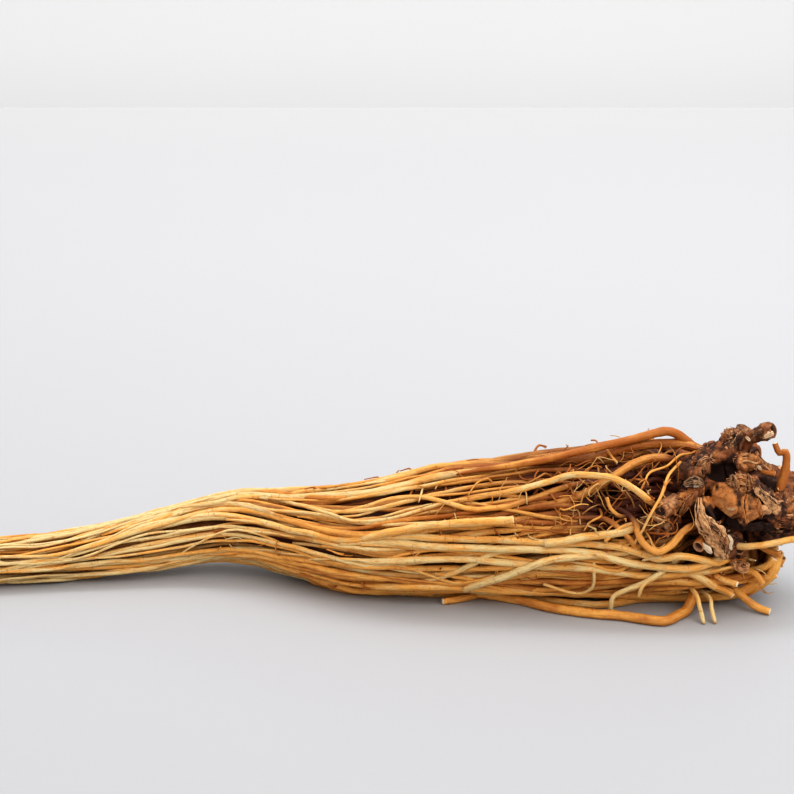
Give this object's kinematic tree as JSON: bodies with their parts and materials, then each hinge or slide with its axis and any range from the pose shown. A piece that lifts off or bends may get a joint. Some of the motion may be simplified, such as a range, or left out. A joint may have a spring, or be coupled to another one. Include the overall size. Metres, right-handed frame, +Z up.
{
  "type": "dried wild ginger root",
  "caption": "Dried root lying on its side: a knotty rhizome with old stem stubs at one end, and a dense bundle of long thin roots that trails away and tapers. Herb or kitchen set dressing.",
  "frame": {"origin": "on the surface it lies on, under the middle of its bounding box", "axes": "+X from the trailing root tips to the rhizome, -Y towards the side that shows the stem stubs, +Z up"},
  "size_m": [0.1957, 0.0436, 0.0416],
  "materials": {
    "rhizome_bark": "dry, rough and flaky, dark brown with orange-brown knobs",
    "root_skin": "dry, finely wrinkled along the root, straw to ochre"
  },
  "bodies": {
    "root": {"rhizome": "rhizome_bark", "roots": "root_skin"}
  },
  "joints": []
}
